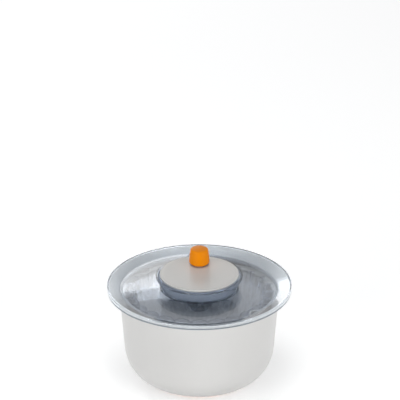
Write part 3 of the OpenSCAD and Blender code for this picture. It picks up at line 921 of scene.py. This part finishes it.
        first_slot_in = 3.0
        start = -math.degrees(math.acos(first_slot_in / big))
        end = math.degrees(math.asin((lower - foot - big) / big))
        centre = (self.base_r, foot + big)
        found = [(radius, foot, Row.SOLID) for radius in self.flat_radii]
        found += [(r, z, Row.SOLID) for r, z in arc(centre, big, -90, start, 2)[:-1]]
        found += [(r, z, Row.SLOTTED) for r, z in arc(centre, big, start, end, 11)[:-1]]
        grip_end = rim - (top_r - (rim_r - self.grip_depth)) / self.draft - self.band
        found += up(lower, middle - self.middle, 2)
        found += up(middle - self.middle, grip_end, 4, Row.SLOTTED)
        found += up(grip_end, middle, 8, Row.GROOVED)
        found += up(middle, upper - self.upper, 2)
        found += up(upper - self.upper, upper, 13, Row.GROOVED)
        lip_z = rim - self.lip_h
        found += up(upper, lip_z, 1)
        lip = rounded([(wall(lip_z), lip_z, 0), (wall(lip_z) + 0.35, rim - 3.4, 1.5),
                       (rim_r, rim - 2.0, 1.2), (rim_r, rim - 0.02, 0)], steps=4)
        return found + [(r, z, Row.SOLID) for r, z in lip]

    def build_wall(self) -> bpy.types.Object:
        """Makes the slotted wall.

        Returns:
            The wall with its rounded corner, lip and grooves.
        """
        rows, columns = self.rows(), self.columns()
        points = []
        for radius, z, _ in rows:
            for column in columns:
                angle = self.at_column(column, radius)
                r = self.cut_back(radius, angle)
                points.append((r * math.cos(angle), r * math.sin(angle), z))

        def keep(row: int, column: int) -> bool:
            """Tells the solid faces from the slots.

            Args:
                row: The number of the face's lower row.
                column: The number of the face's first column.

            Returns:
                Whether the face is solid.
            """
            kind, (angle, across, rib) = rows[row][2], columns[column]
            at_slot = across < 1.0 and rib == 0.0
            in_groove = kind is Row.GROOVED and self.near_grip(angle, self.grip_closed)
            return kind is Row.SOLID or in_groove or not at_slot

        wall = new_piece("basket_wall", points, sheet_faces(len(rows), len(columns), keep))
        return self.thicken(wall)

    def thicken(self, piece: bpy.types.Object) -> bpy.types.Object:
        """Gives a sheet the wall's thickness and soft edges.

        Args:
            piece: The sheet, whose first face lies in the basket's bottom.

        Returns:
            The same piece.
        """
        made = bmesh.new()
        made.from_mesh(piece.data)
        made.faces.ensure_lookup_table()
        if made.faces[0].normal.z > 0:
            bmesh.ops.reverse_faces(made, faces=made.faces)
        made.to_mesh(piece.data)
        made.free()
        solid = piece.modifiers.new("wall", "SOLIDIFY")
        solid.thickness, solid.offset, solid.use_even_offset = self.wall * MM, -1.0, True
        solid.use_rim = True
        edge = piece.modifiers.new("edges", "BEVEL")
        edge.width, edge.segments, edge.limit_method = self.edge_round * MM, 2, "ANGLE"
        edge.angle_limit, edge.use_clamp_overlap = math.radians(50), True
        return settle(piece, 50)

    def build_floor(self) -> bpy.types.Object:
        """Makes the bottom, whose slots run outward.

        Returns:
            The flat bottom with its drain slots.
        """
        foot, columns = foot_of("basket"), 3 * self.drains
        pitch = 2 * math.pi / self.drains
        points = []
        for radius in self.drain_radii:
            edge = min(math.asin(self.drain_w / 2 / radius), 0.25 * pitch)
            for drain in range(self.drains):
                middle = (drain + 0.5) * pitch
                for turn in (-edge, edge, pitch / 2 - edge / 2):
                    a = middle + turn
                    points.append((radius * math.cos(a), radius * math.sin(a), foot))

        def keep(row: int, column: int) -> bool:
            """Returns whether a face is solid and not part of a drain slot."""
            first, last = self.drain_rings
            return column % 3 != 0 or not first <= row < last

        faces = sheet_faces(len(self.drain_radii), columns, keep)
        return self.thicken(new_piece("basket_floor", points, faces))

    def build(self) -> None:
        """Makes the wall, the bottom and the socket for the bush."""
        foot = foot_of("basket")
        top, roof = foot + self.socket_h, foot + self.socket_h - 2.5
        wall, floor = self.build_wall(), self.build_floor()
        socket = lathe("basket_socket", rounded([
            (self.bush_r, foot, 0), (self.socket_foot_r, foot, 0.3),
            (self.socket_foot_r, foot + 2.1, 0.8), (self.socket_r, foot + 5.8, 2.5),
            (self.socket_r, top - 2.2, 1.0), (self.socket_r - 2.2, top, 0.8), (0, top, 0),
            (0, roof, 0), (self.bush_r, roof, 0)], True), True, 96)
        for piece in (wall, floor, socket):
            dress(piece, self.plastic, "basket", "basket")


# ---- Cover ----


@dataclass
class Cover:
    """The finishes of the clear scalloped cover and of the hub gear that it carries."""

    clear: ClearPlastic = ClearPlastic(
        "cover_clear", (0.98, 0.985, 1.0), (0.28, 0.4, 0.66), 90.0, passes=0.8, clarity=0.94)
    gear: ClearPlastic = ClearPlastic(
        "hub_clear", (0.95, 0.965, 0.98), (0.3, 0.42, 0.56), 75.0, 0.08, clarity=0.98)

    def build(self) -> None:
        """Dresses the cover and its hub."""
        refinish(["cover"], self.clear)
        refinish(["hub_gear", "hub_nut"], self.gear)


# ---- Lid ----


@dataclass
class Lid:
    """The clear lid with its collar, the idler's pocket and the cup over the hub gear."""

    wall: float = 2.0
    step_r: float = 120.3
    lip_wall: float = 1.7
    lip_rise: float = 3.66
    shell_drop: float = 2.65
    edge_drop: float = 4.74
    edge_h: float = 2.0
    rib_r: float = 118.2
    rib_w: float = 1.8
    rib_drop: float = 8.5
    collar_h: float = 18.2
    collar_flare: float = 9.6
    collar_seat_r: float = 60.4
    collar_lip_r: float = 62.2
    foot_r: float = 57.1
    channel_r: float = 54.9
    channel_drop: float = 1.4
    channel_under: Point = (43.4, 3.4)
    inner_r: float = 45.9
    inner_wall: float = 1.5
    inner_h: float = 15.4
    tube_r: float = 6.35
    tube_in: float = 4.8
    tube_h: float = 16.3
    cup_in: float = 15.7
    cup_out: float = 17.2
    idler_y: float = -30.75
    pocket_in: float = 19.35
    pocket_out: float = 20.85
    pocket_floor: float = 2.8
    window_half: float = 17.5
    window_depth: float = 29.0
    posts: tuple[Point, Point] = ((-27.5, -20.0), (27.5, -20.0))
    post_r: float = 4.0
    post_h: float = 14.3
    clear: ClearPlastic = ClearPlastic(
        "lid_clear", (0.955, 0.975, 0.99), (0.27, 0.42, 0.62), 50.0, passes=0.85, clarity=0.985)
    # Painted shade: the collar takes a darker copy of the lid's clear plastic, with a deeper tint
    # and a higher density, for the dark lines that thick clear edges show.
    thick: ClearPlastic = ClearPlastic(
        "collar_clear_painted_shade", (0.92, 0.94, 0.965), (0.25, 0.38, 0.56), 185.0)
    # Painted shade: the lip's lower edge takes a grey, nearly opaque copy of the lid's clear
    # plastic, which draws a dark outline.
    edge_painted_shade: ClearPlastic = ClearPlastic(
        "edge_clear_painted_shade", (0.72, 0.77, 0.81), (0.25, 0.36, 0.46), 800.0)
    housing: ClearPlastic = ClearPlastic(
        "housing_clear", (0.98, 0.985, 0.99), (0.3, 0.42, 0.6), 12.0, thinness=0.93)
    drive: ClearPlastic = ClearPlastic(
        "idler_clear", (0.97, 0.98, 0.99), (0.3, 0.42, 0.6), 8.0, 0.28, thinness=0.82)
    bearing: MouldedPlastic = MouldedPlastic("bearing_plastic", tone(226, 226, 222), 0.4)
    steel: BrightSteel = BrightSteel("axle_steel")

    def deck(self) -> float:
        """Returns the height of the plate's upper side."""
        return top_of("lid") - self.collar_h

    def edge(self) -> list[Point]:
        """Draws the lip's lower edge in section.

        Returns:
            Its closed outline.
        """
        low, lip_r = self.deck() - self.edge_drop, reach_of("lid")
        high, lip_in = low + self.edge_h, lip_r - self.lip_wall
        return rounded([(lip_r, low, 0.7), (lip_r, high, 0.2), (lip_in, high, 0.2),
                        (lip_in, low, 0.7)], True, 4)

    def collar(self) -> list[Point]:
        """Draws the flared collar with its lip in section.

        Returns:
            Its closed outline.
        """
        top, foot, foot_r = top_of("lid"), self.deck() + 0.03, self.foot_r
        seat_r, lip_r = self.collar_seat_r, self.collar_lip_r
        return rounded([
            (foot_r + 0.3, foot, 0.3), (foot_r + self.collar_flare, top, 1.3), (seat_r, top, 0.8),
            (seat_r, top - 3.6, 0.5), (lip_r, top - 3.6, 0.5), (lip_r, top - 2.2, 0.6),
            (lip_r + 1.8, top - 2.2, 0.7), (foot_r - 2.1, foot, 0.3)], True, 4)

    def profile(self) -> list[Point]:
        """Draws the lid in section: lip, flange, plate, channel, inner wall and tube.

        Returns:
            Its closed outline.
        """
        deck, lip_r, tube_foot = self.deck(), reach_of("lid"), foot_of("lid")
        lip_in, wall_in = lip_r - self.lip_wall, self.inner_r - self.inner_wall
        under, channel_z = deck - self.wall, deck - self.channel_drop
        wall_top, tube_top = deck + self.inner_h, deck + self.tube_h
        under_r, under_z = self.channel_under[0], deck - self.channel_under[1]
        rib_in, rib_foot = self.rib_r - self.rib_w, deck - self.rib_drop
        return rounded([
            (lip_r, deck - self.shell_drop, 0.1), (lip_r, deck + self.lip_rise, 1.5),
            (self.step_r, deck - 3.9, 1.2), (self.foot_r, deck, 0.0),
            (self.channel_r + 0.7, deck, 0.3), (self.channel_r, channel_z, 1.0),
            (self.inner_r, channel_z, 0.7), (self.inner_r, wall_top, 0.6),
            (wall_in, wall_top, 0.6), (wall_in, deck, 0.9), (self.tube_r, deck, 0.9),
            (self.tube_r, tube_top, 0.5), (self.tube_in, tube_top, 0.4),
            (self.tube_in, tube_foot, 0.3), (self.tube_r, tube_foot, 0.4),
            (self.tube_r, under, 0.7), (under_r, under, 0.5), (under_r, under_z, 0.6),
            (self.foot_r, under_z, 1.0), (self.foot_r + 3.0, deck - 2.2, 1.5),
            (rib_in, deck - 6.04, 0.5), (rib_in, rib_foot, 0.5), (self.rib_r, rib_foot, 0.5),
            (self.rib_r, deck - 6.3, 0.4), (self.step_r, deck - 6.3, 1.2),
            (lip_in, deck + 2.02, 1.2), (lip_in, deck - self.shell_drop, 0.1)], True, 4)

    def pillar(self, name: str, outline: Sequence[Corner], centre: Point = (0.0, 0.0),
               steps: int = 96) -> bpy.types.Object:
        """Returns a turned pillar for joining or cutting, from its rounded outline."""
        return lathe(name, rounded(outline, steps=3), steps=steps, centre=centre)

    def plug(self, name: str, radius: float, low: float, high: float, low_round: float = 0.0,
             centre: Point = (0.0, 0.0)) -> bpy.types.Object:
        """Returns a straight pillar between two heights, with a rounded lower edge.

        Args:
            name: The piece's name.
            radius: Its radius.
            low: The height of its foot.
            high: The height of its top.
            low_round: The radius of its lower edge's rounding.
            centre: Where it stands.

        Returns:
            The pillar.
        """
        return self.pillar(name, [(0, low, 0), (radius, low, low_round), (radius, high, 0),
                                  (0, high, 0)], centre)

    def build_shell(self) -> bpy.types.Object:
        """Makes the main part of the moulding.

        Returns:
            The plate and its walls, with the bracket's posts and the idler's mouth.
        """
        deck, top = self.deck(), top_of("lid")
        half, front = self.window_half, -self.inner_r - 1
        back, post_r, post_top = front + self.window_depth, self.post_r, deck + self.post_h
        shell = lathe("lid_shell", self.profile(), True, 256)
        tools = [(Tool.JOIN, self.pillar("post", [
            (0, deck - 0.4, 0), (post_r + 0.9, deck - 0.4, 0), (post_r, deck + 0.7, 0.8),
            (post_r, post_top, 0.3), (0, post_top, 0)], post, 48)) for post in self.posts]
        mouth = self.plug("pocket_mouth", self.pocket_in, deck - 3, top + 4,
                          centre=(0.0, self.idler_y))
        window = prism("window", [(-half, front), (half, front), (half, back), (-half, back)],
                       deck, top)
        return combine(shell, tools + [(Tool.CUT, mouth), (Tool.CUT, window)])

    def build_housing(self) -> bpy.types.Object:
        """Makes what hangs under the plate.

        Returns:
            The idler's pocket with the hub gear's cup.
        """
        foot, under, top = foot_of("lid") + 3, self.deck() - self.wall - 0.05, top_of("lid")
        idler = (0.0, self.idler_y)
        housing = self.plug("idler_housing", self.pocket_out, foot, under, 0.8, idler)
        return combine(housing, [
            (Tool.JOIN, self.plug("cup", self.cup_out, foot, under, 0.6)),
            (Tool.CUT, self.plug("pocket_bore", self.pocket_in, foot + self.pocket_floor, top,
                                 1.0, idler)),
            (Tool.CUT, self.plug("cup_bore", self.cup_in, foot - 1, top))])

    def build(self) -> None:
        """Makes the lid's moulding and dresses what is mounted in it."""
        dress(self.build_shell(), self.clear, "lid", "lid")
        # The collar and the lip's lower edge wear their painted-shade copies of the clear
        # plastic.
        dress(lathe("lid_collar", self.collar(), True, 256), self.thick, "lid")
        dress(lathe("lid_edge", self.edge(), True, 256), self.edge_painted_shade, "lid")
        dress(self.build_housing(), self.housing, "lid")
        refinish(["idler_gear", "idler_bracket", "glide_ring", "hub_bush"], self.drive)
        refinish(["pivot_bush", "crank_bush"], self.bearing)
        refinish(["idler_axle", "bracket_screws", "pivot_pin", "thrust_washer", "crank_shaft"],
                 self.steel)


# ---- Crank and knob ----


@dataclass
class Crank:
    """The dished disc with its skirt, the ring gear inside it and the knob's post."""

    dish: float = 1.0
    thick: float = 2.1
    offset: float = KNOB_OFFSET
    post_r: float = 5.9
    post_h: float = 18.5
    core_r: float = 3.2
    dimple_r: float = 13.0
    dimple: float = 0.9
    bead: float = 0.4
    bead_in: float = 1.7
    rim_h: float = 2.6
    groove_in: float = 3.4
    groove_z: Point = (3.0, 4.3)
    shoulder_z: float = 5.0
    shoulder_in: float = 1.9
    skirt_wall: float = 1.7
    seam: float = 0.05
    seam_in: float = 4.6
    web_r: float = 47.4
    hub_r: float = 12.0
    hub_bore: float = 9.02
    hub_h: float = 2.2
    steps: int = 216
    plastic: MouldedPlastic = MouldedPlastic(
        "crank_plastic", tone(203, 202, 199), 0.36, drift=0.015)
    pale: MouldedPlastic = MouldedPlastic("skirt_plastic", tone(216, 217, 218), 0.4, drift=0.015)
    core: MouldedPlastic = MouldedPlastic("core_plastic", tone(96, 96, 98), 0.45)
    gear: MouldedPlastic = MouldedPlastic("gear_plastic", tone(220, 222, 222), 0.4)

    def rim_z(self) -> float:
        """Returns the height of the disc's rim."""
        return top_of("crank_disc") - self.post_h + self.dish

    def disc(self) -> bpy.types.Object:
        """Makes the disc.

        Returns:
            The dished disc with its beaded rim and a dimple round the knob's post.
        """
        disc_r, rim, seat = reach_of("crank_disc"), self.rim_z(), top_of("ring_gear")
        middle, bead = rim - self.dish, rim - 0.08
        under, hub_foot = middle - self.thick, middle - self.thick - self.hub_h
        groove_r, seam_r = disc_r - self.groove_in, disc_r - self.seam_in
        groove_top, groove_foot = (rim - drop for drop in self.groove_z)
        dished = [(r, middle + self.dish * (r / disc_r) ** 2, 0.0) for r in range(2, 58, 2)]
        profile = rounded([(0, middle, 0)] + dished + [
            (disc_r - self.bead_in - 0.6, bead - self.bead, 0.3),
            (disc_r - self.bead_in, bead, 0.3), (disc_r, rim, 0.9),
            (disc_r, rim - self.rim_h, 0.8), (groove_r, groove_top, 0.3),
            (groove_r, groove_foot, 0.1), (seam_r, groove_foot, 0.1), (seam_r, seat, 0.2),
            (self.web_r, seat, 0.2), (self.web_r, under, 0.5), (self.hub_r, under, 0.4),
            (self.hub_r, hub_foot, 0.3), (self.hub_bore, hub_foot, 0.3),
            (self.hub_bore, under, 0), (0, under, 0)], steps=4)
        disc = lathe("crank_top", profile, steps=self.steps)
        for vertex in disc.data.vertices:
            x, y, z = (c / MM for c in vertex.co)
            away = math.hypot(x, y - self.offset) / self.dimple_r
            if z > middle - 0.2 and away < 1:
                vertex.co.z -= self.dimple * (1 - away * away) ** 1.5 * MM
        return disc

    def skirt(self) -> bpy.types.Object:
        """Makes the skirt.

        Returns:
            The tapered skirt, which hides the ring gear.
        """
        disc_r, rim, foot = reach_of("crank_disc"), self.rim_z(), foot_of("crank_disc")
        inside, seat = reach_of("ring_gear") + 0.02, top_of("ring_gear") - self.seam
        seam_r, seam_z = disc_r - self.seam_in + self.seam, rim - self.groove_z[1] - self.seam
        return lathe("crank_skirt", rounded([
            (disc_r - self.groove_in, seam_z, 0.3),
            (disc_r - self.shoulder_in, rim - self.shoulder_z, 0.7),
            (inside + self.skirt_wall, foot, 0.5), (inside, foot, 0.4), (inside, seat, 0.2),
            (seam_r, seat, 0.0), (seam_r, seam_z, 0.1)], True, 4), True, self.steps)

    def post(self) -> bpy.types.Object:
        """Makes the knob's post.

        Returns:
            The hollow post.
        """
        top, middle, post_r = top_of("crank_disc"), self.rim_z() - self.dish, self.post_r
        return lathe("knob_post", rounded([
            (self.core_r, middle - 1.6, 0), (post_r + 1.2, middle - 1.6, 0),
            (post_r, middle + 1.0, 1.6), (post_r, top, 0.6), (self.core_r, top, 0.3)],
            True, 4), True, 72, (0.0, self.offset))

    def build(self) -> None:
        """Makes the disc, the skirt and the post, and dresses the ring gear and the core."""
        for piece, finish in ((self.disc(), self.plastic), (self.skirt(), self.pale),
                              (self.post(), self.plastic)):
            dress(piece, finish, "crank", "crank_disc")
        refinish(["ring_gear"], self.gear)
        refinish(["post_core"], self.core)


@dataclass
class Knob:
    """The round grip that turns freely on the crank's post."""

    offset: float = KNOB_OFFSET
    sleeve_r: float = 7.42
    neck_r: float = 13.5
    foot_h: float = 3.4
    foot_round: float = 3.0
    bulge: float = 1.8
    crown: float = 3.0
    crown_w: float = 3.4
    crown_h: float = 2.2
    plastic: MouldedPlastic = MouldedPlastic(
        "knob_plastic", tone(236, 138, 0), 0.42, drift=0.03, shine=0.12)
    sleeve: MouldedPlastic = MouldedPlastic("sleeve_plastic", tone(226, 226, 222), 0.4)

    def profile(self) -> list[Point]:
        """Draws the grip in section.

        Returns:
            The outline of its bore, foot, barrel, crown and dome.
        """
        low, high, foot_r = foot_of("knob"), top_of("knob"), reach_of("knob")
        inside_z, shoulder = top_of("knob_sleeve") + 0.3, high - self.crown
        waist = low + self.foot_h
        bore = rounded([(0, inside_z, 0), (self.sleeve_r, inside_z, 0.2),
                        (self.sleeve_r, low, 0.4), (foot_r - 2.4, low, 0)], steps=4)
        foot = arc((foot_r - self.foot_round, waist), self.foot_round, -78, -4, 6)
        barrel = [(foot_r + (self.neck_r - foot_r) * share ** self.bulge,
                   waist + (shoulder - waist) * share) for share in (i / 8 for i in range(9))]
        crown = [(self.neck_r - self.crown_w * (1 - math.cos(a)),
                  shoulder + self.crown_h * math.sin(a))
                 for a in (math.radians(9 * i) for i in range(1, 11))]
        edge_r, edge_z = crown[-1]
        dome = [(edge_r * far, high - (high - edge_z) * far ** 2)
                for far in (1 - i / 6 for i in range(1, 7))]
        return bore + foot + barrel + crown + dome

    def build(self) -> None:
        """Makes the grip and dresses its sleeve."""
        grip = lathe("grip", self.profile(), steps=144, centre=(0.0, self.offset), sharp=60)
        dress(grip, self.plastic, "knob", "knob")
        refinish(["knob_sleeve"], self.sleeve)


# ---- Studio ----


@dataclass(frozen=True)
class Softbox:
    """A softbox: its place in metres, its width and height, and its power in watts."""

    name: str
    place: Point3
    size: Point
    power: float


@dataclass
class Studio:
    """The pale floor, whose radii are in millimetres, the world, the lamps and the camera."""

    lens: float = 326.1
    pitch: float = 24.93
    distance: float = 5.434
    middle_z: float = 0.298
    side_shift: float = 0.00175
    floor_radii: tuple[float, ...] = (0.0, 60.0, 400.0, 14000.0)
    paper: tuple[Colour, Colour] = ((0.86, 0.86, 0.86), (0.88, 0.88, 0.88))
    glow: tuple[Colour, Colour] = ((0.45, 0.45, 0.45), (1.0, 1.0, 1.0))
    far: Point = (1.6, 4.6)
    sky: tuple[Colour, Colour] = ((0.36, 0.365, 0.37), (0.17, 0.175, 0.18))
    backdrop: tuple[Colour, Colour] = ((1.0, 1.0, 1.0), (0.58, 0.61, 0.66))
    aim: Point3 = (0.0, 0.0, 0.2)
    lamps: tuple[Softbox, ...] = (
        Softbox("front_box", (-2.25, -2.45, 0.75), (2.6, 0.9), 50.0),
        Softbox("side_box", (2.4, -2.0, 0.75), (2.2, 0.9), 44.0),
        Softbox("back_box", (-1.0, 2.8, 1.2), (2.0, 0.9), 14.0),
        Softbox("top_box", (-0.2, -0.3, 3.0), (1.5, 1.5), 27.0))

    def add_floor(self) -> None:
        """Lays a pale floor that keeps the object's shadow near by and glows white far off."""
        floor = lathe("studio_floor", [(radius, 0.0) for radius in self.floor_radii], steps=96)
        material = new_material("studio_paper")
        graph = Graph(material.node_tree)
        place = graph.place()
        far = graph.distance(place).ramp(*self.far)
        paper = graph.blend(graph.noise(place, 500.0, 3.0), *self.paper)
        paper = graph.add("ShaderNodeBsdfPrincipled", None, {
            "Base Color": graph.blend(far, paper, (0.0, 0.0, 0.0)),
            "Roughness": 0.9, "Specular IOR Level": 0.0}, "BSDF")
        glow = graph.add("ShaderNodeEmission", None, {
            "Color": graph.blend(far, *self.glow), "Strength": 1.0})
        dark = graph.add("ShaderNodeEmission", None, {"Strength": 0.0})
        shown = graph.add("ShaderNodeMixShader", None, {0: graph.looking(), 1: dark, 2: glow})
        graph.finish(graph.add("ShaderNodeAddShader", None, {0: paper, 1: shown}))
        floor.data.materials.append(material)

    def add_world(self) -> None:
        """Surrounds the studio with soft light, and with white where the camera looks."""
        world = bpy.data.worlds.new("studio_world")
        world.use_nodes = True
        bpy.context.scene.world = world
        graph = Graph(world.node_tree)
        up = graph.height(graph.add("ShaderNodeTexCoord", out="Generated"))
        light = graph.blend(up.ramp(0.0, 0.9), *self.sky)
        shown = graph.blend(up.ramp(0.45, 0.95), *self.backdrop)
        colour = graph.blend(graph.looking(), light, shown)
        graph.finish(graph.add("ShaderNodeBackground", None, {"Color": colour}))

    def add_lamp(self, box: Softbox) -> None:
        """Hangs one softbox and turns it towards the object.

        Args:
            box: The softbox.
        """
        lamp = bpy.data.lights.new(box.name, "AREA")
        lamp.shape, lamp.energy = "RECTANGLE", box.power
        lamp.size, lamp.size_y = box.size
        holder = bpy.data.objects.new(box.name, lamp)
        holder.location = box.place
        aim = Vector(self.aim) - Vector(box.place)
        holder.rotation_euler = aim.to_track_quat("-Z", "Y").to_euler()
        bpy.context.scene.collection.objects.link(holder)

    def add_camera(self) -> None:
        """Sets up the long-lens camera that looks down on the object from the front."""
        lens = bpy.data.cameras.new("product_lens")
        lens.lens, lens.sensor_width = self.lens, 36.0
        lens.shift_x = self.side_shift
        lens.clip_start, lens.clip_end = 0.1, 60.0
        camera = bpy.data.objects.new("product_camera", lens)
        tilt = math.radians(self.pitch)
        camera.location = (0.0, -self.distance * math.cos(tilt),
                           self.middle_z + self.distance * math.sin(tilt))
        camera.rotation_euler = (math.pi / 2 - tilt, 0.0, 0.0)
        bpy.context.scene.collection.objects.link(camera)
        bpy.context.scene.camera = camera

    def build(self) -> None:
        """Sets up the whole studio."""
        self.add_camera()
        self.add_world()
        self.add_floor()
        for box in self.lamps:
            self.add_lamp(box)
        bpy.context.scene.view_settings.view_transform = "Standard"


def main() -> None:
    """Builds the studio and every sub-assembly."""
    logging.basicConfig(level=logging.INFO, format="%(name)s: %(message)s")
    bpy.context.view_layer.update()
    Studio().build()
    for part in (Bowl(), Basket(), Cover(), Lid(), Crank(), Knob()):
        part.build()
        log.info("%s is done", type(part).__name__)


if __name__ == "__main__":
    main()
